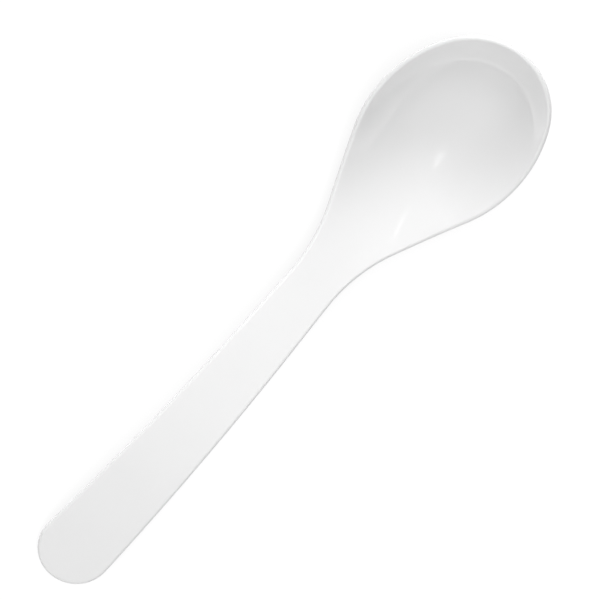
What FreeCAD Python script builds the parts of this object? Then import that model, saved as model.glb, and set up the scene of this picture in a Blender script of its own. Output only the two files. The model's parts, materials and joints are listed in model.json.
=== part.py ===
import FreeCAD, Part

import math
import os

import Sketcher

# A salad spoon moulded in one piece of glossy plastic.
# The wall is one formed skin: a flat strip that arches along the grip and dishes into the bowl.
# The plan outline trims the skin. The upper edge of the wall is rounded, the lower one is broken.
# In the body's own frame +X runs from the grip end to the bowl tip, +Y is across and +Z is up.
# The spoon lies on Z = 0, on the belly of the bowl and the end of the grip.

BODY_LABEL = "salad_spoon"
OUTPUT_FOLDER = "parts"

# Driving dimensions in millimetres and degrees, or shares of the length: alias, value, meaning
SIZES = [
    ("overall_length", 300.0, "grip end to bowl tip, in plan"),
    ("wall", 3.0, "thickness of the wall, square to its surface"),
    ("grip_end_radius", 16.15, "round end of the grip, in plan"),
    ("grip_taper", 1.9, "angle of each long side of the grip to the centre line"),
    ("neck_radius", 78.0, "hollow curve from the grip's side to the flare"),
    ("flare_angle", 23.9, "angle of the straight flare to the centre line"),
    ("bowl_width", 73.9, "widest place of the bowl"),
    ("bowl_side_radius", 59.6, "plan curve of the bowl's side"),
    ("widest_to_tip", 46.3, "widest place of the bowl to its tip"),
    ("crest_share", 0.327, "grip end to the top of its arch, as a share of the length"),
    ("crest_height", 21.4, "top of the grip's arch above the table"),
    ("low_share", 0.207, "lowest place of the bowl to its tip, as a share of the length"),
    ("tip_rise", 34.9, "rise of the bowl's inside from its lowest place to the tip"),
    ("bowl_depth", 17.1, "depth of the bowl's cross curve over its width"),
    ("dish_run", 80.0, "length over which the flat grip turns into the dished bowl"),
    ("upper_edge_radius", 1.25, "rounding of the upper edge"),
    ("lower_edge_break", 0.6, "chamfer of the lower edge"),
]

# How far the untrimmed skin stands out past the outline
END_MARGIN = 4.0
MARGIN_ANGLE = 5.0
TRIM_MARGIN = 30.0

# Sections of the skin: flat ones under the arch, then dishing ones, then those of the full bowl
FLAT_SECTIONS = 8
DISHING_SECTIONS = 4
BOWL_SECTIONS = 5

# The largest share of the wall that the rounding and the chamfer may take
UPPER_EDGE_SHARE = 0.42
LOWER_EDGE_SHARE = 0.3


def make_sizes(doc):
    """Write the driving dimensions into the spreadsheet that everything else reads."""
    sheet = doc.addObject("Spreadsheet::Sheet", "Sizes")
    for row, (alias, value, meaning) in enumerate(SIZES, start=1):
        sheet.set(f"A{row}", meaning)
        sheet.set(f"B{row}", str(value))
        sheet.setAlias(f"B{row}", alias)
    return sheet


def make_layout(doc):
    """Work out the arcs of the side profile from the driving dimensions."""
    # The arch's underside comes down to the table at the broken lower edge of the grip's end.
    # The ramp is the line that touches both the arch and the bowl's long arc.
    formulas = [
        ("crest_position", "Sizes.crest_share * Sizes.overall_length"),
        ("end_break", f"min(Sizes.lower_edge_break; {LOWER_EDGE_SHARE} * Sizes.wall)"),
        ("arch_rise", "Sizes.crest_height - Sizes.wall"),
        ("arch_run", "crest_position - end_break"),
        ("arch_radius", "(arch_run ^ 2 + (arch_rise + Sizes.wall) ^ 2"
                        " - Sizes.wall ^ 2) / (2 * arch_rise)"),
        ("arch_centre_height", "Sizes.crest_height - arch_radius"),
        ("low_to_tip", "Sizes.low_share * Sizes.overall_length"),
        ("low_position", "Sizes.overall_length - low_to_tip"),
        ("bowl_arc_radius", "(low_to_tip ^ 2 + Sizes.tip_rise ^ 2) / (2 * Sizes.tip_rise)"),
        ("bowl_centre_height", "Sizes.wall + bowl_arc_radius"),
        ("tip_angle", "2 * atan(Sizes.tip_rise / low_to_tip)"),
        ("centre_run", "low_position - crest_position"),
        ("centre_rise", "bowl_centre_height - arch_centre_height"),
        ("ramp_angle", "atan2(centre_rise; centre_run)"
                       " - asin((arch_radius + bowl_arc_radius) / sqrt(centre_run ^ 2 + centre_rise ^ 2))"),
        ("ramp_start", "crest_position - arch_radius * sin(ramp_angle)"),
        ("ramp_start_height", "arch_centre_height + arch_radius * cos(ramp_angle)"),
        ("ramp_end", "low_position + bowl_arc_radius * sin(ramp_angle)"),
        ("cross_radius", "(Sizes.bowl_width ^ 2 / 4 + Sizes.bowl_depth ^ 2) / (2 * Sizes.bowl_depth)"),
        ("skin_half_width", "cross_radius * sin(asin(Sizes.bowl_width / 2 / cross_radius)"
                            f" + {MARGIN_ANGLE} * 1 deg)"),
    ]
    sheet = doc.addObject("Spreadsheet::Sheet", "Layout")
    for row, (alias, formula) in enumerate(formulas, start=1):
        sheet.set(f"A{row}", alias.replace("_", " "))
        sheet.setAlias(f"B{row}", alias)
        sheet.set(f"B{row}", "=" + formula)
    return sheet


def make_stations(doc):
    """List where each section of the skin stands: position, height, slope and share of the dish."""
    dish_start = "(Layout.low_position - Sizes.dish_run)"
    positions = [f"-{END_MARGIN}"]
    for step in range(1, FLAT_SECTIONS):
        positions.append(f"{dish_start} * {step} / {FLAT_SECTIONS - 1}")
    for step in range(1, DISHING_SECTIONS + 1):
        positions.append(f"{dish_start} + Sizes.dish_run * {step} / {DISHING_SECTIONS + 1}")
    for step in range(BOWL_SECTIONS):
        share = f"{step} / {BOWL_SECTIONS - 1}"
        positions.append(f"Layout.low_position + Layout.bowl_arc_radius"
                         f" * sin((Layout.tip_angle + {MARGIN_ANGLE} * 1 deg) * {share})")
    sheet = doc.addObject("Spreadsheet::Sheet", "Stations")
    for row, position in enumerate(positions, start=1):
        place = f"A{row}"
        on_arch = f"{place} < Layout.ramp_start"
        on_ramp = f"{place} < Layout.ramp_end"
        arch = f"(Layout.crest_position - {place})"
        bowl = f"({place} - Layout.low_position)"
        sheet.set(place, "=" + position)
        sheet.set(f"B{row}", f"={on_arch}"
                  f" ? Layout.arch_centre_height + sqrt(Layout.arch_radius ^ 2 - {arch} ^ 2)"
                  f" : ({on_ramp}"
                  f" ? Layout.ramp_start_height + ({place} - Layout.ramp_start) * tan(Layout.ramp_angle)"
                  f" : Layout.bowl_centre_height - sqrt(Layout.bowl_arc_radius ^ 2 - {bowl} ^ 2))")
        sheet.set(f"C{row}", f"={on_arch} ? asin({arch} / Layout.arch_radius)"
                  f" : ({on_ramp} ? Layout.ramp_angle : asin({bowl} / Layout.bowl_arc_radius))")
        run = f"min(1; max(0; 1 + {bowl} / Sizes.dish_run))"
        sheet.set(f"D{row}", f"={run} ^ 2 * (3 - 2 * {run})")
    return len(positions)


def origin_plane(body, role):
    """Find one of the body's own origin planes by its role."""
    return next(plane for plane in body.Origin.OriginFeatures if plane.Role == role)


def add_sketch(body, name, role):
    """Add a sketch to the body, flat on one of its origin planes."""
    sketch = body.newObject("Sketcher::SketchObject", name)
    sketch.AttachmentSupport = [(origin_plane(body, role), "")]
    sketch.MapMode = "FlatFace"
    return sketch


def bind(sketch, expression, *constraint):
    """Add a dimension to a sketch and bind it to an expression."""
    index = sketch.addConstraint(Sketcher.Constraint(*constraint))
    sketch.setExpression(f"Constraints[{index}]", expression)


def join(sketch, kind, *ends):
    """Join the end points of two lines or arcs, as coincident or tangent."""
    sketch.addConstraint(Sketcher.Constraint(kind, *ends))


def add_flat_section(sketch, half_width, wall):
    """Draw the skin's section where it is a flat strip."""
    corners = [(-half_width, 0.0), (half_width, 0.0), (half_width, -wall), (-half_width, -wall)]
    points = [FreeCAD.Vector(across, up, 0.0) for across, up in corners]
    for start, end in zip(points, points[1:] + points[:1]):
        sketch.addGeometry(Part.LineSegment(start, end), False)
    for line in range(4):
        join(sketch, "Coincident", line, 2, (line + 1) % 4, 1)
    for line in (0, 2):
        join(sketch, "Horizontal", line)
    for line in (1, 3):
        join(sketch, "Vertical", line)
    join(sketch, "PointOnObject", 0, 1, -1)
    bind(sketch, "Layout.skin_half_width", "DistanceX", 0, 1, -1, 1, half_width)
    bind(sketch, "Layout.skin_half_width", "DistanceX", -1, 1, 0, 2, half_width)
    bind(sketch, "Sizes.wall", "DistanceY", 1, 2, 1, 1, wall)


def add_dished_section(sketch, half_width, wall, radius, radius_expression):
    """Draw the skin's section where it is dished: a band between two arcs about one centre."""
    centre = FreeCAD.Vector(0.0, radius, 0.0)
    up = FreeCAD.Vector(0.0, 0.0, 1.0)
    half_angle = math.asin(half_width / radius)
    start_angle = -math.pi / 2 - half_angle
    end_angle = -math.pi / 2 + half_angle
    inner = Part.ArcOfCircle(Part.Circle(centre, up, radius), start_angle, end_angle)
    outer = Part.ArcOfCircle(Part.Circle(centre, up, radius + wall), start_angle, end_angle)
    sketch.addGeometry(inner, False)
    sketch.addGeometry(Part.LineSegment(inner.EndPoint, outer.EndPoint), False)
    sketch.addGeometry(outer, False)
    sketch.addGeometry(Part.LineSegment(outer.StartPoint, inner.StartPoint), False)
    join(sketch, "Coincident", 0, 2, 1, 1)
    join(sketch, "Coincident", 1, 2, 2, 2)
    join(sketch, "Coincident", 2, 1, 3, 1)
    join(sketch, "Coincident", 3, 2, 0, 1)
    join(sketch, "Coincident", 0, 3, 2, 3)
    join(sketch, "PointOnObject", 0, 3, -2)
    join(sketch, "PointOnObject", 0, 3, 1)
    join(sketch, "PointOnObject", 0, 3, 3)
    bind(sketch, radius_expression, "DistanceY", -1, 1, 0, 3, radius)
    bind(sketch, radius_expression, "Radius", 0, radius)
    bind(sketch, f"{radius_expression} + Sizes.wall", "Radius", 2, radius + wall)
    bind(sketch, "Layout.skin_half_width", "DistanceX", 0, 1, -1, 1, half_width)
    bind(sketch, "Layout.skin_half_width", "DistanceX", -1, 1, 0, 2, half_width)


def add_skin(doc, body, station_count):
    """Loft the formed skin through its sections, from past the grip end to past the tip."""
    half_width = doc.Layout.skin_half_width
    wall = doc.Sizes.wall
    sections = []
    for station in range(1, station_count + 1):
        sketch = add_sketch(body, f"skin_section_{station:02d}", "YZ_Plane")
        sketch.setExpression(
            "AttachmentOffset",
            f"placement(vector(0; Stations.B{station}; Stations.A{station});"
            f" rotation(vector(1; 0; 0); -Stations.C{station}))")
        if station <= FLAT_SECTIONS:
            add_flat_section(sketch, half_width, wall)
        else:
            share = doc.Stations.get(f"D{station}")
            add_dished_section(sketch, half_width, wall, doc.Layout.cross_radius / share,
                               f"Layout.cross_radius / Stations.D{station}")
        sections.append(sketch)
    doc.recompute()
    skin = body.newObject("PartDesign::AdditiveLoft", "skin")
    skin.Profile = sections[0]
    skin.Sections = sections[1:]
    skin.Ruled = False
    skin.Closed = False


def outline_side(sizes):
    """Work out one side of the plan outline: its tangent points and arc centres."""
    taper = math.radians(sizes.grip_taper)
    flare = math.radians(sizes.flare_angle)
    along_grip = FreeCAD.Vector(math.cos(taper), -math.sin(taper), 0.0)
    off_grip = FreeCAD.Vector(math.sin(taper), math.cos(taper), 0.0)
    along_flare = FreeCAD.Vector(math.cos(flare), math.sin(flare), 0.0)
    off_flare = FreeCAD.Vector(-math.sin(flare), math.cos(flare), 0.0)
    end_centre = FreeCAD.Vector(sizes.grip_end_radius, 0.0, 0.0)
    side_centre = FreeCAD.Vector(sizes.overall_length - sizes.widest_to_tip,
                                 sizes.bowl_width / 2 - sizes.bowl_side_radius, 0.0)
    grip_start = end_centre + off_grip * sizes.grip_end_radius
    flare_end = side_centre + off_flare * sizes.bowl_side_radius
    reach = (flare_end - grip_start).dot(off_flare) / along_grip.dot(off_flare)
    corner = grip_start + along_grip * reach
    setback = sizes.neck_radius * math.tan((taper + flare) / 2)
    grip_stop = corner - along_grip * setback
    flare_start = corner + along_flare * setback
    neck_centre = grip_stop + off_grip * sizes.neck_radius
    # The tip's arc has its centre on the centre line and touches the side's arc from inside
    run = sizes.widest_to_tip
    radius = sizes.bowl_side_radius
    tip_radius = (radius ** 2 - run ** 2 - side_centre.y ** 2) / (2 * (radius - run))
    tip_centre = FreeCAD.Vector(sizes.overall_length - tip_radius, 0.0, 0.0)
    side_stop = tip_centre + (tip_centre - side_centre).normalize() * tip_radius
    return (end_centre, grip_start, grip_stop, neck_centre, flare_start, flare_end,
            side_centre, side_stop, tip_centre)


def arc(centre, start, end):
    """Make the arc about a centre that runs counter-clockwise from start to end."""
    circle = Part.Circle(centre, FreeCAD.Vector(0.0, 0.0, 1.0), (start - centre).Length)
    return Part.ArcOfCircle(circle, circle.parameter(start), circle.parameter(end))


def mirrored(point):
    """Mirror a plan point across the centre line."""
    return FreeCAD.Vector(point.x, -point.y, 0.0)


def add_outline(doc, body):
    """Draw the plan outline inside a rectangle, so that a pocket removes all between them."""
    sizes = doc.Sizes
    (end_centre, grip_start, grip_stop, neck_centre, flare_start, flare_end,
     side_centre, side_stop, tip_centre) = outline_side(sizes)
    sketch = add_sketch(body, "plan_outline", "XY_Plane")

    # Grip end 0 and tip 1, then the upper side 2 to 5 and the lower side 6 to 9
    sketch.addGeometry(arc(end_centre, grip_start, mirrored(grip_start)), False)
    sketch.addGeometry(arc(tip_centre, mirrored(side_stop), side_stop), False)
    sketch.addGeometry(Part.LineSegment(grip_start, grip_stop), False)
    sketch.addGeometry(arc(neck_centre, grip_stop, flare_start), False)
    sketch.addGeometry(Part.LineSegment(flare_start, flare_end), False)
    sketch.addGeometry(arc(side_centre, side_stop, flare_end), False)
    sketch.addGeometry(Part.LineSegment(mirrored(grip_start), mirrored(grip_stop)), False)
    sketch.addGeometry(arc(mirrored(neck_centre), mirrored(flare_start), mirrored(grip_stop)), False)
    sketch.addGeometry(Part.LineSegment(mirrored(flare_start), mirrored(flare_end)), False)
    sketch.addGeometry(arc(mirrored(side_centre), mirrored(flare_end), mirrored(side_stop)), False)
    sketch.addGeometry(Part.Point(FreeCAD.Vector(sizes.overall_length, 0.0, 0.0)), True)

    join(sketch, "Tangent", 0, 1, 2, 1)
    join(sketch, "Tangent", 2, 2, 3, 1)
    join(sketch, "Tangent", 3, 2, 4, 1)
    join(sketch, "Tangent", 4, 2, 5, 2)
    join(sketch, "Tangent", 5, 1, 1, 2)
    join(sketch, "Tangent", 0, 2, 6, 1)
    join(sketch, "Tangent", 6, 2, 7, 2)
    join(sketch, "Tangent", 7, 1, 8, 1)
    join(sketch, "Tangent", 8, 2, 9, 1)
    join(sketch, "Tangent", 9, 2, 1, 1)

    # The grip end and the tip stand on the centre line, and the two sides mirror each other
    join(sketch, "PointOnObject", 0, 3, -1)
    join(sketch, "PointOnObject", 1, 3, -1)
    join(sketch, "PointOnObject", 10, 1, -1)
    join(sketch, "PointOnObject", 10, 1, 1)
    join(sketch, "Symmetric", 5, 3, 9, 3, -1)
    join(sketch, "Symmetric", 3, 3, 7, 3, -1)
    join(sketch, "Equal", 3, 7)

    bind(sketch, "Sizes.grip_end_radius", "DistanceX", -1, 1, 0, 3, sizes.grip_end_radius)
    bind(sketch, "Sizes.grip_end_radius", "Radius", 0, sizes.grip_end_radius)
    bind(sketch, "Sizes.overall_length", "DistanceX", -1, 1, 10, 1, sizes.overall_length)
    bind(sketch, "Sizes.overall_length - Sizes.widest_to_tip", "DistanceX", -1, 1, 5, 3, side_centre.x)
    bind(sketch, "Sizes.bowl_side_radius - Sizes.bowl_width / 2", "DistanceY", 5, 3, -1, 1, -side_centre.y)
    bind(sketch, "Sizes.bowl_side_radius", "Radius", 5, sizes.bowl_side_radius)
    bind(sketch, "Sizes.neck_radius", "Radius", 3, sizes.neck_radius)
    bind(sketch, "-Sizes.grip_taper", "Angle", 2, math.radians(-sizes.grip_taper))
    bind(sketch, "Sizes.flare_angle", "Angle", 4, math.radians(sizes.flare_angle))
    add_trim_frame(doc, sketch)
    return sketch


def add_trim_frame(doc, sketch):
    """Draw the rectangle that stands outside the whole skin."""
    first = sketch.GeometryCount
    back = -TRIM_MARGIN
    front = doc.Sizes.overall_length + TRIM_MARGIN
    side = doc.Sizes.bowl_width / 2 + TRIM_MARGIN
    corners = [(back, -side), (front, -side), (front, side), (back, side)]
    points = [FreeCAD.Vector(along, across, 0.0) for along, across in corners]
    for start, end in zip(points, points[1:] + points[:1]):
        sketch.addGeometry(Part.LineSegment(start, end), False)
    for line in range(4):
        join(sketch, "Coincident", first + line, 2, first + (line + 1) % 4, 1)
    for line in (0, 2):
        join(sketch, "Horizontal", first + line)
    for line in (1, 3):
        join(sketch, "Vertical", first + line)
    side_expression = f"Sizes.bowl_width / 2 + {TRIM_MARGIN}"
    bind(sketch, f"{TRIM_MARGIN}", "DistanceX", first, 1, -1, 1, TRIM_MARGIN)
    bind(sketch, f"Sizes.overall_length + {TRIM_MARGIN}", "DistanceX", -1, 1, first, 2, front)
    bind(sketch, side_expression, "DistanceY", first, 1, -1, 1, side)
    bind(sketch, side_expression, "DistanceY", -1, 1, first + 1, 2, side)


def trim_to_outline(doc, body):
    """Cut the skin along the plan outline, square to the table."""
    outline = add_outline(doc, body)
    doc.recompute()
    trim = body.newObject("PartDesign::Pocket", "trim")
    trim.Profile = outline
    trim.SideType = "Symmetric"
    trim.Type = "ThroughAll"


def is_wall(face):
    """Tell whether a face stands square to the table."""
    first_u, last_u, first_v, last_v = face.ParameterRange
    normal = face.normalAt((first_u + last_u) / 2, (first_v + last_v) / 2)
    return abs(normal.z) < 1e-6


def skin_edges(shape, upper):
    """List the edges where the trimmed wall meets the skin's upper or lower surface."""
    names = []
    for index, edge in enumerate(shape.Edges, start=1):
        faces = shape.ancestorsOfType(edge, Part.Face)
        walls = [face for face in faces if is_wall(face)]
        skins = [face for face in faces if not is_wall(face)]
        if len(walls) != 1 or len(skins) != 1:
            continue
        if (edge.BoundBox.Center.z > walls[0].BoundBox.Center.z) == upper:
            names.append(f"Edge{index}")
    return names


def dress_edges(doc, body, kind, name, upper, size, expression):
    """Round or chamfer the upper or lower edges of the trimmed wall."""
    base = body.Tip
    feature = body.newObject(kind, name)
    feature.Base = (base, skin_edges(base.Shape, upper))
    feature.setExpression(size, expression)
    doc.recompute()


def check(doc, body):
    """Stop if any object failed or the finished solid isn't whole."""
    for item in doc.Objects:
        if "Invalid" in item.State or "Error" in item.State:
            raise RuntimeError(f"{item.Name} failed: {item.State}")
    shape = body.Shape
    if shape.isNull() or not shape.isValid() or len(shape.Solids) != 1:
        raise RuntimeError(f"{body.Label} isn't one valid solid")


def main():
    """Build the spoon and write its solid."""
    doc = FreeCAD.newDocument("salad_spoon")
    make_sizes(doc)
    make_layout(doc)
    station_count = make_stations(doc)
    doc.recompute()

    body = doc.addObject("PartDesign::Body", "Spoon")
    body.Label = BODY_LABEL
    add_skin(doc, body, station_count)
    doc.recompute()
    trim_to_outline(doc, body)
    doc.recompute()
    dress_edges(doc, body, "PartDesign::Chamfer", "lower_break", False, "Size", "Layout.end_break")
    dress_edges(doc, body, "PartDesign::Fillet", "upper_rounding", True, "Radius",
                f"min(Sizes.upper_edge_radius; {UPPER_EDGE_SHARE} * Sizes.wall)")
    body.setExpression("Placement.Base.x", "-Sizes.overall_length / 2")
    doc.recompute()
    check(doc, body)

    os.makedirs(OUTPUT_FOLDER, exist_ok=True)
    body.Shape.exportStep(os.path.join(OUTPUT_FOLDER, f"{body.Label}.step"))
    box = body.Shape.optimalBoundingBox()
    print(f"{body.Label}: {body.Shape.Volume:.0f} mm3,"
          f" {box.XLength:.1f} x {box.YLength:.1f} x {box.ZLength:.1f} mm, lowest {box.ZMin:.3f}")


main()
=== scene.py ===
"""A glossy white moulded salad spoon on a plain white floor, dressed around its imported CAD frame."""

import json
import logging
import math
from dataclasses import dataclass
from enum import Enum

import bpy
import numpy as np
from mathutils import Matrix, Vector

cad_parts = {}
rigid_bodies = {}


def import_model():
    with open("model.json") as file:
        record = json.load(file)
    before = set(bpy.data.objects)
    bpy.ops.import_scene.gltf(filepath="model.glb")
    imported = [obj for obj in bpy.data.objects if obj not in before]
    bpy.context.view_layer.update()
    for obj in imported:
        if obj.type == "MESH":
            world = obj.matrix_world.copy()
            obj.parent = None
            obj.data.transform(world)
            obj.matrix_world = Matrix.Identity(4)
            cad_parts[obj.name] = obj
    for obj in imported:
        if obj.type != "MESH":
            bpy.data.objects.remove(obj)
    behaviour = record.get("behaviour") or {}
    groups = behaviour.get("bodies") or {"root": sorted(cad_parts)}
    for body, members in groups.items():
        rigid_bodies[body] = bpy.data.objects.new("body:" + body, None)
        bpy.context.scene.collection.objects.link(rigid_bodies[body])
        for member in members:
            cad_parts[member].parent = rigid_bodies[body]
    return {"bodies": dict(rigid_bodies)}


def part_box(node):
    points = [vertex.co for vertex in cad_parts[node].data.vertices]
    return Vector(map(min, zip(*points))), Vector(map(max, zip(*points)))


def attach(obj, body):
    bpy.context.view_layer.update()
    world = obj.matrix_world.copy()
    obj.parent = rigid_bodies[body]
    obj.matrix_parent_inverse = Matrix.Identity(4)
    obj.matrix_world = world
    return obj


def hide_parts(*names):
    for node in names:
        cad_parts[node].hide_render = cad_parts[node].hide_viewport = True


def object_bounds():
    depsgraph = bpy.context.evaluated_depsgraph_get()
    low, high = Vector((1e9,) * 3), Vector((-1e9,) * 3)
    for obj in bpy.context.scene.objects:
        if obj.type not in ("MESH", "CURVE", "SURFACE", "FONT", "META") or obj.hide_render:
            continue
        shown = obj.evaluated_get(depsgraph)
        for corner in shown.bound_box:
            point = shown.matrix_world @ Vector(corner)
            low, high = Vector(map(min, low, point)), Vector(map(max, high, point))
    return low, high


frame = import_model()
cad_box = [list(corner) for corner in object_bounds()]

log = logging.getLogger("salad_spoon")

MM = 0.001

# Rounds and steps of the numeric searches on the spoon's form.
STATION_ROUNDS = 60
TOUCH_ROUNDS = 12
SLOPE_STEP = 0.05 * MM
LEAST_DISH = 1e-6


class Node(Enum):
    """The CAD node that the dressed piece stands for."""

    SPOON = "salad_spoon"


class Slot(Enum):
    """The record's material slot of the piece."""

    WHITE_PLASTIC = "white_plastic"


class Skin(Enum):
    """The two faces of the spoon's wall."""

    UPPER = "upper"
    LOWER = "lower"


@dataclass(frozen=True)
class Line:
    """A straight stretch of the plan outline.

    Attributes:
        start: The plan point where it begins.
        angle: Its direction, in radians from +X.
        length: How long it is, in metres.
    """

    start: complex
    angle: float
    length: float

    def at(self, distance: float) -> tuple[complex, complex]:
        """Find the point at a distance along the line, and the normal to its left."""
        direction = complex(math.cos(self.angle), math.sin(self.angle))
        return self.start + direction * distance, direction * 1j


@dataclass(frozen=True)
class Arc:
    """A round stretch of the plan outline.

    Attributes:
        centre: The arc's centre in plan.
        radius: Its radius, in metres.
        start_angle: Where it begins, in radians about the centre.
        end_angle: Where it ends; less than the start angle on a clockwise arc.
    """

    centre: complex
    radius: float
    start_angle: float
    end_angle: float

    @property
    def length(self) -> float:
        """Give the arc's length in metres."""
        return abs(self.end_angle - self.start_angle) * self.radius

    def at(self, distance: float) -> tuple[complex, complex]:
        """Find the point at a distance along the arc, and the normal to its left."""
        turn = math.copysign(1.0, self.end_angle - self.start_angle)
        angle = self.start_angle + turn * distance / self.radius
        spoke = complex(math.cos(angle), math.sin(angle))
        return self.centre + spoke * self.radius, -spoke * turn


@dataclass(frozen=True)
class SpoonForm:
    """The spoon's true form: its plan outline, its side profile and its dished wall.

    Plan points run from the grip's end at 0 to the bowl's tip at the overall length.

    Attributes:
        overall_length: Grip end to bowl tip.
        bowl_width: Widest place of the bowl.
        wall: Thickness of the wall, square to its surface.
        grip_end_radius: Round end of the grip, in plan.
        grip_taper: Angle of each long side of the grip to the centre line, in degrees.
        neck_radius: Hollow curve from the grip's side to the flare.
        flare_angle: Angle of the straight flare to the centre line, in degrees.
        bowl_side_radius: Plan curve of the bowl's side.
        widest_to_tip: Widest place of the bowl to its tip.
        crest_share: Grip end to the top of its arch, as a share of the length.
        crest_height: Top of the grip's arch above the table.
        low_share: Lowest place of the bowl to its tip, as a share of the length.
        tip_rise: Rise of the bowl's inside from its lowest place to the tip.
        bowl_depth: Depth of the bowl's cross curve over its width.
        dish_run: Length over which the flat grip turns into the dished bowl.
        lower_edge_break: Chamfer of the lower edge, which the arch comes down on.
    """

    overall_length: float
    bowl_width: float
    wall: float = 3.0 * MM
    grip_end_radius: float = 16.15 * MM
    grip_taper: float = 1.9
    neck_radius: float = 78.0 * MM
    flare_angle: float = 23.9
    bowl_side_radius: float = 59.6 * MM
    widest_to_tip: float = 46.3 * MM
    crest_share: float = 0.327
    crest_height: float = 21.4 * MM
    low_share: float = 0.207
    tip_rise: float = 34.9 * MM
    bowl_depth: float = 17.1 * MM
    dish_run: float = 80.0 * MM
    lower_edge_break: float = 0.6 * MM

    @property
    def crest_position(self) -> float:
        """Give the place of the arch's top along the spoon."""
        return self.crest_share * self.overall_length

    @property
    def arch_radius(self) -> float:
        """Give the radius of the arch's upper side."""
        run = self.crest_position - self.lower_edge_break
        rise = self.crest_height - self.wall
        return (run ** 2 + (rise + self.wall) ** 2 - self.wall ** 2) / (2 * rise)

    @property
    def low_position(self) -> float:
        """Give the place of the bowl's lowest point along the spoon."""
        return self.overall_length * (1 - self.low_share)

    @property
    def bowl_arc_radius(self) -> float:
        """Give the radius of the bowl's long arc."""
        run = self.low_share * self.overall_length
        return (run ** 2 + self.tip_rise ** 2) / (2 * self.tip_rise)

    @property
    def ramp_angle(self) -> float:
        """Give the slope of the line that touches both the arch and the bowl's long arc."""
        run = self.low_position - self.crest_position
        rise = self.wall + self.bowl_arc_radius - self.crest_height + self.arch_radius
        reach = (self.arch_radius + self.bowl_arc_radius) / math.hypot(run, rise)
        return math.atan2(rise, run) - math.asin(reach)

    @property
    def cross_radius(self) -> float:
        """Give the radius of the full bowl's cross curve."""
        return (self.bowl_width ** 2 / 4 + self.bowl_depth ** 2) / (2 * self.bowl_depth)

    def profile(self, station: np.ndarray) -> tuple[np.ndarray, np.ndarray]:
        """Find the side profile of the upper skin on the centre line.

        Args:
            station: Places along the spoon.

        Returns:
            The heights and the slopes, in radians, at those places.
        """
        ramp = self.ramp_angle
        arch_end = self.crest_position - self.arch_radius * math.sin(ramp)
        bowl_start = self.low_position + self.bowl_arc_radius * math.sin(ramp)
        arch_run = np.clip((self.crest_position - station) / self.arch_radius, -1, 1)
        bowl_run = np.clip((station - self.low_position) / self.bowl_arc_radius, -1, 1)
        arch_height = self.crest_height - self.arch_radius * (1 - np.sqrt(1 - arch_run ** 2))
        ramp_top = self.crest_height - self.arch_radius * (1 - math.cos(ramp))
        ramp_height = ramp_top + (station - arch_end) * math.tan(ramp)
        bowl_height = self.wall + self.bowl_arc_radius * (1 - np.sqrt(1 - bowl_run ** 2))
        on_arch = station < arch_end
        on_ramp = station < bowl_start
        height = np.where(on_arch, arch_height, np.where(on_ramp, ramp_height, bowl_height))
        slope = np.where(on_arch, np.arcsin(arch_run), np.where(on_ramp, ramp, np.arcsin(bowl_run)))
        return height, slope

    def cross_height(self, station: np.ndarray, across: np.ndarray, skin: Skin) -> np.ndarray:
        """Find how far a skin stands above the centre line of the upper skin, square to the profile.

        Args:
            station: Places along the spoon.
            across: Distances from the centre line.
            skin: Which face of the wall.

        Returns:
            The heights, in metres.
        """
        run = np.clip(1 + (station - self.low_position) / self.dish_run, 0, 1)
        share = run ** 2 * (3 - 2 * run)
        radius = self.cross_radius / np.maximum(share, LEAST_DISH)
        outer = radius if skin is Skin.UPPER else radius + self.wall
        drop = outer - np.sqrt(outer ** 2 - across ** 2)
        return drop if skin is Skin.UPPER else drop - self.wall

    def height(self, plan: np.ndarray, skin: Skin) -> np.ndarray:
        """Find the height of a skin over plan points.

        Args:
            plan: Plan points as complex numbers.
            skin: Which face of the wall.

        Returns:
            The heights above the table, in metres.
        """
        across = np.abs(plan.imag)
        station = plan.real.copy()
        for _ in range(STATION_ROUNDS):
            _, slope = self.profile(station)
            station = plan.real + self.cross_height(station, across, skin) * np.sin(slope)
        level, slope = self.profile(station)
        return level + self.cross_height(station, across, skin) * np.cos(slope)

    def slope_along(self, plan: np.ndarray, direction: np.ndarray, skin: Skin) -> np.ndarray:
        """Find the slope of a skin in a plan direction, in radians."""
        step = direction * SLOPE_STEP
        rise = self.height(plan + step, skin) - self.height(plan - step, skin)
        return np.arctan2(rise, 2 * SLOPE_STEP)

    def outline(self) -> list[Line | Arc]:
        """Work out one side of the plan outline, from the grip's end to the bowl's tip.

        Returns:
            The stretches in order; the outside is on the left of each.
        """
        taper = math.radians(self.grip_taper)
        flare = math.radians(self.flare_angle)
        along_grip = complex(math.cos(taper), -math.sin(taper))
        along_flare = complex(math.cos(flare), math.sin(flare))
        off_grip = along_grip * 1j
        off_flare = along_flare * 1j
        end_centre = complex(self.grip_end_radius, 0)
        side_centre = complex(self.overall_length - self.widest_to_tip,
                              self.bowl_width / 2 - self.bowl_side_radius)
        grip_start = end_centre + off_grip * self.grip_end_radius
        flare_end = side_centre + off_flare * self.bowl_side_radius
        gap = flare_end - grip_start
        corner = grip_start + along_grip * (self.dot(gap, off_flare) / self.dot(along_grip, off_flare))
        setback = self.neck_radius * math.tan((taper + flare) / 2)
        grip_stop = corner - along_grip * setback
        flare_start = corner + along_flare * setback
        run = self.widest_to_tip
        radius = self.bowl_side_radius
        tip_radius = (radius ** 2 - run ** 2 - side_centre.imag ** 2) / (2 * (radius - run))
        tip_centre = complex(self.overall_length - tip_radius, 0)
        tip_turn = tip_centre - side_centre
        tip_start = math.atan2(tip_turn.imag, tip_turn.real)
        half_turn = math.pi / 2
        return [
            Arc(end_centre, self.grip_end_radius, math.pi, half_turn - taper),
            Line(grip_start, -taper, abs(grip_stop - grip_start)),
            Arc(grip_stop + off_grip * self.neck_radius, self.neck_radius,
                -half_turn - taper, -half_turn + flare),
            Line(flare_start, flare, abs(flare_end - flare_start)),
            Arc(side_centre, radius, half_turn + flare, tip_start),
            Arc(tip_centre, tip_radius, tip_start, 0.0),
        ]

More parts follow.
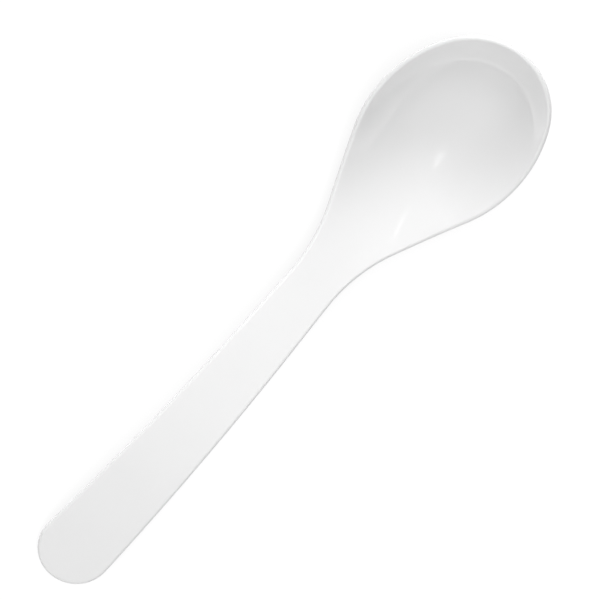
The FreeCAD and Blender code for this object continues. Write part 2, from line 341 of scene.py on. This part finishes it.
    @staticmethod
    def dot(first: complex, second: complex) -> float:
        """Give the dot product of two plan vectors."""
        return (first * second.conjugate()).real

    def trace(self, count: int) -> tuple[np.ndarray, np.ndarray]:
        """Walk the closed plan outline at equal steps.

        Args:
            count: Steps along each side.

        Returns:
            The points and the outward normals, as complex numbers, first along the +Y side from
            the grip's end to the tip, then back along the -Y side.
        """
        stretches = self.outline()
        total = sum(stretch.length for stretch in stretches)
        points, normals = [], []
        for step in range(count + 1):
            distance = total * step / count
            for stretch in stretches:
                if distance <= stretch.length or stretch is stretches[-1]:
                    break
                distance -= stretch.length
            point, normal = stretch.at(distance)
            points.append(point)
            normals.append(normal)
        side = np.array(points)
        out = np.array(normals)
        return (np.concatenate([side, side[-2:0:-1].conj()]),
                np.concatenate([out, out[-2:0:-1].conj()]))


@dataclass
class SpoonShell:
    """The spoon's one moulded wall, as a fine closed mesh with rounded rims.

    Attributes:
        form: The spoon's true form.
        side_steps: Mesh columns along each side of the outline.
        skin_rings: Mesh rows from the rim to the centre line.
        rim_steps: Mesh rows round each edge.
        upper_edge_radius: Rounding of the upper edge.
        lower_edge_radius: Rounding of the lower edge.
        centre_margins: Distances from the grip's end and the tip to the ends of the centre row.
    """

    form: SpoonForm
    side_steps: int = 300
    skin_rings: int = 18
    rim_steps: int = 9
    upper_edge_radius: float = 1.25 * MM
    lower_edge_radius: float = 0.7 * MM
    centre_margins: tuple[float, float] = (14.0 * MM, 24.0 * MM)

    def rim_arc(self, points: np.ndarray, normals: np.ndarray, skin: Skin) -> list[np.ndarray]:
        """Round one edge of the wall all the way along the outline.

        The arc touches the upright side of the wall and the skin, as a rolling ball would.

        Args:
            points: Plan points of the outline.
            normals: Outward plan normals there.
            skin: The face of the wall whose edge is rounded.

        Returns:
            Rows of points from the skin out to the wall's side, as plan points and heights.
        """
        sign = 1.0 if skin is Skin.UPPER else -1.0
        radius = self.upper_edge_radius if skin is Skin.UPPER else self.lower_edge_radius
        inset = np.full(len(points), radius)
        for _ in range(TOUCH_ROUNDS):
            touch = points - normals * inset
            slope = self.form.slope_along(touch, normals, skin)
            inset = radius * (1 + sign * np.sin(slope))
        centre = self.form.height(touch, skin) - sign * radius * np.cos(slope)
        rows = []
        for step in range(self.rim_steps + 1):
            turn = (math.pi / 2 + sign * slope) * (1 - step / self.rim_steps)
            plan = points + normals * radius * (np.cos(turn) - 1)
            rows.append(np.stack([plan.real, plan.imag, centre + sign * radius * np.sin(turn)], axis=1))
        return rows

    def skin_rows(self, edge: np.ndarray, skin: Skin) -> list[np.ndarray]:
        """Fill one face of the wall from its rim to the centre line.

        Args:
            edge: The rim's row of points on this skin.
            skin: Which face of the wall.

        Returns:
            Rows of points from just inside the rim to just short of the centre row.
        """
        start = edge[:, 0] + 1j * edge[:, 1]
        feet = self.centre_feet()
        column = np.minimum(np.arange(len(start)), 2 * self.side_steps - np.arange(len(start)))
        rows = []
        for ring in range(1, self.skin_rings):
            plan = start + (feet[column] - start) * (ring / self.skin_rings)
            rows.append(np.stack([plan.real, plan.imag, self.form.height(plan, skin)], axis=1))
        return rows

    def centre_feet(self) -> np.ndarray:
        """Give the plan points of the centre row, one for each column of a side."""
        first = self.centre_margins[0]
        last = self.form.overall_length - self.centre_margins[1]
        return np.linspace(first, last, self.side_steps + 1) + 0j

    def centre_row(self, skin: Skin) -> np.ndarray:
        """Give the centre row's points on one face of the wall."""
        feet = self.centre_feet()
        return np.stack([feet.real, feet.imag, self.form.height(feet, skin)], axis=1)

    def mesh(self, name: str) -> bpy.types.Mesh:
        """Build the closed mesh.

        Args:
            name: The mesh's name.

        Returns:
            The mesh, centred on the spoon's length and standing on the table.
        """
        points, normals = self.form.trace(self.side_steps)
        upper_rim = self.rim_arc(points, normals, Skin.UPPER)
        lower_rim = self.rim_arc(points, normals, Skin.LOWER)
        rings = (self.skin_rows(upper_rim[0], Skin.UPPER)[::-1] + upper_rim
                 + lower_rim[::-1] + self.skin_rows(lower_rim[0], Skin.LOWER))
        count = len(points)
        vertices = np.concatenate([self.centre_row(Skin.UPPER), *rings, self.centre_row(Skin.LOWER)])
        vertices[:, 0] -= self.form.overall_length / 2
        upper_centre = 0
        first_ring = self.side_steps + 1
        lower_centre = first_ring + len(rings) * count

        def ring_index(ring: int, column: int) -> int:
            """Give the vertex of a ring at a column."""
            return first_ring + ring * count + column % count

        def centre_index(base: int, column: int) -> int:
            """Give the vertex of a centre row that a column ends at."""
            column %= count
            return base + min(column, count - column)

        faces = []
        last = len(rings) - 1
        for column in range(count):
            following = column + 1
            faces.append((centre_index(upper_centre, column), centre_index(upper_centre, following),
                          ring_index(0, following), ring_index(0, column)))
            for ring in range(last):
                faces.append((ring_index(ring, column), ring_index(ring, following),
                              ring_index(ring + 1, following), ring_index(ring + 1, column)))
            faces.append((ring_index(last, column), ring_index(last, following),
                          centre_index(lower_centre, following), centre_index(lower_centre, column)))
        mesh = bpy.data.meshes.new(name)
        mesh.from_pydata(vertices.tolist(), [], faces)
        mesh.validate()
        mesh.polygons.foreach_set("use_smooth", [True] * len(mesh.polygons))
        mesh.update()
        return mesh

    def build(self, finish: "GlossPlastic") -> bpy.types.Object:
        """Build the spoon, dress it and set it on its CAD body in place of the CAD node.

        Args:
            finish: The plastic that it is moulded in.

        Returns:
            The finished object.
        """
        piece = bpy.data.objects.new("spoon_shell", self.mesh("spoon_shell"))
        bpy.context.scene.collection.objects.link(piece)
        piece.data.materials.append(finish.material())
        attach(piece, next(iter(frame["bodies"])))
        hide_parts(Node.SPOON.value)
        return piece


class Shader:
    """A material's or a world's node tree, with short calls to add and join its nodes."""

    def __init__(self, tree: bpy.types.NodeTree) -> None:
        """Empty the tree and keep it."""
        self.tree = tree
        tree.nodes.clear()

    def node(self, kind: str, inputs: dict[str | int, object] | None = None,
             **settings: object) -> bpy.types.Node:
        """Add a node.

        Args:
            kind: The node's type.
            inputs: Values or output sockets for its inputs, by name or number.
            settings: Properties of the node.

        Returns:
            The new node.
        """
        node = self.tree.nodes.new(kind)
        for key, value in settings.items():
            setattr(node, key, value)
        for key, value in (inputs or {}).items():
            if isinstance(value, bpy.types.NodeSocket):
                self.tree.links.new(value, node.inputs[key])
            else:
                node.inputs[key].default_value = value
        return node


@dataclass(frozen=True)
class GlossPlastic:
    """Smooth moulded plastic with a gloss, faintly uneven in tone, sheen and flatness.

    Attributes:
        name: The material's name.
        tone: The plastic's grey level.
        tone_swing: How far the tone drifts over the piece.
        roughness: The gloss's middle roughness.
        roughness_swing: How far the roughness drifts.
        refraction: Index of refraction of the surface.
        drift_size: Width of the slow drift in tone, in metres.
        wave_size: Width of the mould's slow waves, in metres.
        grain_size: Width of the fine grain, in metres.
        wave_height: Height of the slow waves, in metres.
        grain_height: Height of the fine grain, in metres.
        wave_detail: Octaves of the slow waves.
        fine_detail: Octaves of the drift and the grain.
        noise_band: The part of the noise's span that carries the swings.
    """

    name: str
    tone: float = 0.9
    tone_swing: float = 0.008
    roughness: float = 0.08
    roughness_swing: float = 0.02
    refraction: float = 1.5
    drift_size: float = 30.0 * MM
    wave_size: float = 11.0 * MM
    grain_size: float = 0.7 * MM
    wave_height: float = 0.02 * MM
    grain_height: float = 0.0006 * MM
    wave_detail: float = 2.0
    fine_detail: float = 3.0
    noise_band: tuple[float, float] = (0.3, 0.7)

    def noise(self, shader: "Shader", place: bpy.types.NodeSocket, size: float,
              detail: float) -> bpy.types.NodeSocket:
        """Add a noise over the piece.

        Args:
            shader: The material's node tree.
            place: The place on the piece.
            size: Width of the noise's features, in metres.
            detail: How many octaves it has.

        Returns:
            The noise's level.
        """
        texture = shader.node("ShaderNodeTexNoise", {"Vector": place, "Scale": 1 / size, "Detail": detail})
        return texture.outputs["Fac"]

    def swing(self, shader: "Shader", noise: bpy.types.NodeSocket, middle: float,
              reach: float) -> bpy.types.NodeSocket:
        """Turn a noise into a value that swings about a middle.

        Args:
            shader: The material's node tree.
            noise: The noise's level.
            middle: The value's middle.
            reach: How far it swings to either side.

        Returns:
            The value.
        """
        span = shader.node("ShaderNodeMapRange", {
            "Value": noise, "From Min": self.noise_band[0], "From Max": self.noise_band[1],
            "To Min": middle - reach, "To Max": middle + reach})
        return span.outputs["Result"]

    def material(self) -> bpy.types.Material:
        """Build the material.

        Returns:
            The node material.
        """
        material = bpy.data.materials.new(self.name)
        material.use_nodes = True
        shader = Shader(material.node_tree)
        place = shader.node("ShaderNodeTexCoord").outputs["Object"]
        drift = self.noise(shader, place, self.drift_size, self.fine_detail)
        waves = self.noise(shader, place, self.wave_size, self.wave_detail)
        grain = self.noise(shader, place, self.grain_size, self.fine_detail)
        tone = self.swing(shader, drift, self.tone, self.tone_swing)
        gloss = self.swing(shader, grain, self.roughness, self.roughness_swing)
        colour = shader.node("ShaderNodeCombineColor", {"Red": tone, "Green": tone, "Blue": tone})
        wavy = shader.node("ShaderNodeBump", {"Height": waves, "Distance": self.wave_height})
        grainy = shader.node("ShaderNodeBump", {
            "Height": grain, "Distance": self.grain_height, "Normal": wavy.outputs["Normal"]})
        surface = shader.node("ShaderNodeBsdfPrincipled", {
            "Base Color": colour.outputs["Color"], "Roughness": gloss, "IOR": self.refraction,
            "Normal": grainy.outputs["Normal"]})
        shader.node("ShaderNodeOutputMaterial", {"Surface": surface.outputs["BSDF"]})
        return material


@dataclass(frozen=True)
class FloorFinish:
    """Matt white paper: it lights the spoon from below and looks white where nothing shades it. In view and
    in the gloss, ambient occlusion near the spoon turns its glow down into a painted contact shadow.

    Attributes:
        name: The material's name.
        tone: Grey level of the paper as it lights the spoon.
        seen_tone: Grey level of the part that takes the spoon's shadow in view.
        seen_glow: Strength that brings the open floor to white in view.
        far_glow: Strength of the floor far off, plain white in view and brighter in the gloss.
        far_range: Distances from the spoon between which the floor grows to that strength.
        painted_shadow_glow: Strength of the glow where the spoon covers the floor, the deepest part of the
            painted contact shadow.
        contact_reach: How far from the spoon the painted contact shadow still darkens the floor.
        contact_range: Open shares of the sky between which the painted contact shadow fades.
    """

    name: str
    tone: float = 0.5
    seen_tone: float = 0.04
    seen_glow: float = 0.99
    far_glow: float = 1.75
    far_range: tuple[float, float] = (120.0 * MM, 600.0 * MM)
    painted_shadow_glow: float = 0.86
    contact_reach: float = 32.0 * MM
    contact_range: tuple[float, float] = (0.3, 0.8)

    def material(self) -> bpy.types.Material:
        """Build the material.

        Returns:
            The node material.
        """
        material = bpy.data.materials.new(self.name)
        material.use_nodes = True
        shader = Shader(material.node_tree)
        path = shader.node("ShaderNodeLightPath")
        mirrored = shader.node("ShaderNodeMath", {
            0: path.outputs["Is Glossy Ray"], 1: path.outputs["Is Transmission Ray"]}, operation="MAXIMUM")
        seen = shader.node("ShaderNodeMath", {
            0: path.outputs["Is Camera Ray"], 1: mirrored.outputs["Value"]}, operation="MAXIMUM")
        paper = shader.node("ShaderNodeBsdfDiffuse", {"Color": (self.tone,) * 3 + (1.0,)})
        shaded = shader.node("ShaderNodeBsdfDiffuse", {"Color": (self.seen_tone,) * 3 + (1.0,)})
        # Painted contact shadow: where ambient occlusion finds the spoon close by, the floor's glow in view
        # and in the gloss is turned down.
        open_sky = shader.node("ShaderNodeAmbientOcclusion", {"Distance": self.contact_reach})
        contact = shader.node("ShaderNodeMapRange", {
            "Value": open_sky.outputs["AO"],
            "From Min": self.contact_range[0], "From Max": self.contact_range[1],
            "To Min": self.painted_shadow_glow, "To Max": self.seen_glow}, interpolation_type="SMOOTHSTEP")
        place = shader.node("ShaderNodeNewGeometry").outputs["Position"]
        distance = shader.node("ShaderNodeVectorMath", {0: place}, operation="LENGTH")
        far = shader.node("ShaderNodeMapRange", {
            "Value": distance.outputs["Value"],
            "From Min": self.far_range[0], "From Max": self.far_range[1],
            "To Min": 0.0, "To Max": self.far_glow - self.seen_glow}, interpolation_type="SMOOTHSTEP")
        strength = shader.node("ShaderNodeMath", {
            0: contact.outputs["Result"], 1: far.outputs["Result"]}, operation="ADD")
        glow = shader.node("ShaderNodeEmission", {"Strength": strength.outputs["Value"]})
        view = shader.node("ShaderNodeAddShader", {0: shaded.outputs["BSDF"], 1: glow.outputs["Emission"]})
        mixed = shader.node("ShaderNodeMixShader", {
            0: seen.outputs["Value"], 1: paper.outputs["BSDF"], 2: view.outputs["Shader"]})
        shader.node("ShaderNodeOutputMaterial", {"Surface": mixed.outputs["Shader"]})
        return material


@dataclass(frozen=True)
class SkyGlow:
    """A soft bright patch of the sky.

    Attributes:
        bearing: Turn from +X to its middle, in degrees.
        elevation: Its middle's height above the horizon, in degrees.
        strength: Its strength in the middle; below zero it darkens the sky there.
        sharpness: How fast it fades off the middle; 1 fades over a quarter turn.
    """

    bearing: float
    elevation: float
    strength: float
    sharpness: float

    @property
    def direction(self) -> tuple[float, float, float]:
        """Give the unit vector to the patch's middle."""
        turn, rise = math.radians(self.bearing), math.radians(self.elevation)
        return (math.cos(turn) * math.cos(rise), math.sin(turn) * math.cos(rise), math.sin(rise))


@dataclass(frozen=True)
class SkyCard:
    """A low bright card round one side of the sky, with a slanting straight upper edge.

    Attributes:
        bearing: Turn from +X to the place where its edge is highest, in degrees.
        rise: Height of its edge there above the horizon, in degrees.
        strength: Its strength just under the edge.
        foot_strength: Its strength where it has faded, further down.
        fade: How far under the edge it has faded, in degrees.
        softness: Half the width of its edge's blur, in degrees.
    """

    bearing: float
    rise: float
    strength: float
    foot_strength: float
    fade: float
    softness: float

    @property
    def normal(self) -> tuple[float, float, float]:
        """Give the unit vector that stands square to the plane through the edge and the spoon."""
        turn, rise = math.radians(self.bearing), math.radians(self.rise)
        return (-math.cos(turn) * math.sin(rise), -math.sin(turn) * math.sin(rise), math.cos(rise))


@dataclass
class Studio:
    """The floor, the soft light and the camera.

    Attributes:
        floor_size: Side of the square floor, in metres.
        floor_gap: How far the floor lies under the table plane.
        camera_distance: Camera to the point that it looks at.
        camera_aim: That point on the table plane.
        camera_tilt: Lean of the camera off the plumb line, towards +Y and +X, in degrees.
        camera_turn: Turn of the picture about the view line, in degrees.
        camera_reach: Far end of what the camera sees, in metres.
        lens: Focal length in millimetres on the sensor's width.
        sensor: Sensor width in millimetres.
        glows: The sky's soft bright patches.
        card: The low bright card on one side of it.
        seen_level: Strength of the plain backdrop that the camera sees in place of the sky.
    """

    floor_size: float = 60.0
    floor_gap: float = 0.05 * MM
    camera_distance: float = 4.0
    camera_aim: tuple[float, float] = (8.07 * MM, -2.34 * MM)
    camera_tilt: tuple[float, float] = (8.92, 2.73)
    camera_turn: float = -48.39
    camera_reach: float = 600.0
    lens: float = 564.2
    sensor: float = 36.0
    # A light overhead, the main one past the bowl's tip, three low ones past the grip's end, then
    # the three small bright spots and the dark one that the gloss of the ramp and the bowl mirrors.
    glows: tuple[SkyGlow, ...] = (
        SkyGlow(0.0, 90.0, 1.34, 8.0),
        SkyGlow(41.6, 27.0, 8.4, 12.0),
        SkyGlow(176.6, 37.0, 1.96, 12.0),
        SkyGlow(221.6, 37.0, 1.6, 12.0),
        SkyGlow(196.0, 8.0, 0.6, 14.0),
        SkyGlow(40.0, 72.5, 9.0, 9000.0),
        SkyGlow(155.0, 78.7, 3.6, 500.0),
        SkyGlow(126.0, 81.3, 5.0, 1400.0),
        SkyGlow(146.0, 85.4, -1.2, 2500.0),
    )
    card: SkyCard = SkyCard(311.0, 37.6, 1.15, 0.25, 18.0, 0.7)
    seen_level: float = 1.0

    def floor(self) -> bpy.types.Object:
        """Lay the floor under the spoon.

        Returns:
            The floor.
        """
        half = self.floor_size / 2
        corners = [(-half, -half, 0), (half, -half, 0), (half, half, 0), (-half, half, 0)]
        mesh = bpy.data.meshes.new("floor")
        mesh.from_pydata(corners, [], [(0, 1, 2, 3)])
        floor = bpy.data.objects.new("floor", mesh)
        floor.location.z = cad_box[0][2] - self.floor_gap
        mesh.materials.append(FloorFinish("floor_paper").material())
        bpy.context.scene.collection.objects.link(floor)
        return floor

    def sky(self) -> bpy.types.World:
        """Light the set by a dark sky with soft bright patches and a low bright card.

        Returns:
            The world.
        """
        world = bpy.data.worlds.new("studio_sky")
        bpy.context.scene.world = world
        world.use_nodes = True
        shader = Shader(world.node_tree)
        direction = shader.node("ShaderNodeTexCoord").outputs["Generated"]
        level: float | bpy.types.NodeSocket = 0.0
        for glow in self.glows:
            facing = shader.node("ShaderNodeVectorMath", {0: direction, 1: glow.direction},
                                 operation="DOT_PRODUCT")
            front = shader.node("ShaderNodeMath", {0: facing.outputs["Value"], 1: 0.0}, operation="MAXIMUM")
            fade = shader.node("ShaderNodeMath", {0: front.outputs["Value"], 1: glow.sharpness},
                               operation="POWER")
            level = shader.node("ShaderNodeMath", {
                0: fade.outputs["Value"], 1: glow.strength, 2: level},
                operation="MULTIPLY_ADD").outputs["Value"]
        above = shader.node("ShaderNodeVectorMath", {0: direction, 1: self.card.normal},
                            operation="DOT_PRODUCT")
        softness = math.sin(math.radians(self.card.softness))
        edge = shader.node("ShaderNodeMapRange", {
            "Value": above.outputs["Value"], "From Min": softness, "From Max": -softness,
            "To Min": 0.0, "To Max": 1.0}, interpolation_type="SMOOTHSTEP")
        body = shader.node("ShaderNodeMapRange", {
            "Value": above.outputs["Value"], "From Min": -math.sin(math.radians(self.card.fade)),
            "From Max": 0.0, "To Min": self.card.foot_strength, "To Max": self.card.strength})
        level = shader.node("ShaderNodeMath", {
            0: edge.outputs["Result"], 1: body.outputs["Result"], 2: level},
            operation="MULTIPLY_ADD").outputs["Value"]
        sky = shader.node("ShaderNodeBackground", {"Strength": level})
        seen = shader.node("ShaderNodeBackground", {"Strength": self.seen_level})
        path = shader.node("ShaderNodeLightPath")
        mixed = shader.node("ShaderNodeMixShader", {
            0: path.outputs["Is Camera Ray"], 1: sky.outputs["Background"], 2: seen.outputs["Background"]})
        shader.node("ShaderNodeOutputWorld", {"Surface": mixed.outputs["Shader"]})
        return world

    def camera(self) -> bpy.types.Object:
        """Set the camera at the photograph's angle.

        Returns:
            The camera.
        """
        lean_y, lean_x = (math.radians(angle) for angle in self.camera_tilt)
        back = Vector((math.sin(lean_x), math.sin(lean_y) * math.cos(lean_x),
                       math.cos(lean_y) * math.cos(lean_x))).normalized()
        along = Vector((1.0, 0.0, 0.0))
        along = (along - back * along.dot(back)).normalized()
        across = back.cross(along)
        turn = math.radians(self.camera_turn)
        right = along * math.cos(turn) + across * math.sin(turn)
        up = across * math.cos(turn) - along * math.sin(turn)
        data = bpy.data.cameras.new("camera")
        data.sensor_width = self.sensor
        data.lens = self.lens
        data.clip_end = self.camera_reach
        camera = bpy.data.objects.new("camera", data)
        camera.matrix_world = Matrix.Translation(
            Vector((*self.camera_aim, 0.0)) + back * self.camera_distance
        ) @ Matrix((right, up, back)).transposed().to_4x4()
        bpy.context.scene.collection.objects.link(camera)
        bpy.context.scene.camera = camera
        return camera

    def build(self) -> None:
        """Build the whole set."""
        bpy.context.scene.view_settings.view_transform = "Standard"
        self.floor()
        self.sky()
        self.camera()


def report(name: str, piece: bpy.types.Object) -> None:
    """Log a piece's name and size.

    Args:
        name: What to call it.
        piece: The finished object.
    """
    size = [round(side / MM, 1) for side in piece.dimensions]
    log.info("%s: %d faces, %s mm", name, len(piece.data.polygons), size)


def main() -> None:
    """Build the spoon and the set."""
    logging.basicConfig(level=logging.INFO, format="%(name)s %(message)s")
    low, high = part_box(Node.SPOON.value)
    form = SpoonForm(overall_length=high[0] - low[0], bowl_width=high[1] - low[1])
    report("spoon", SpoonShell(form).build(GlossPlastic("moulded_white_plastic")))
    Studio().build()
    bpy.context.view_layer.update()


if __name__ == "__main__":
    main()
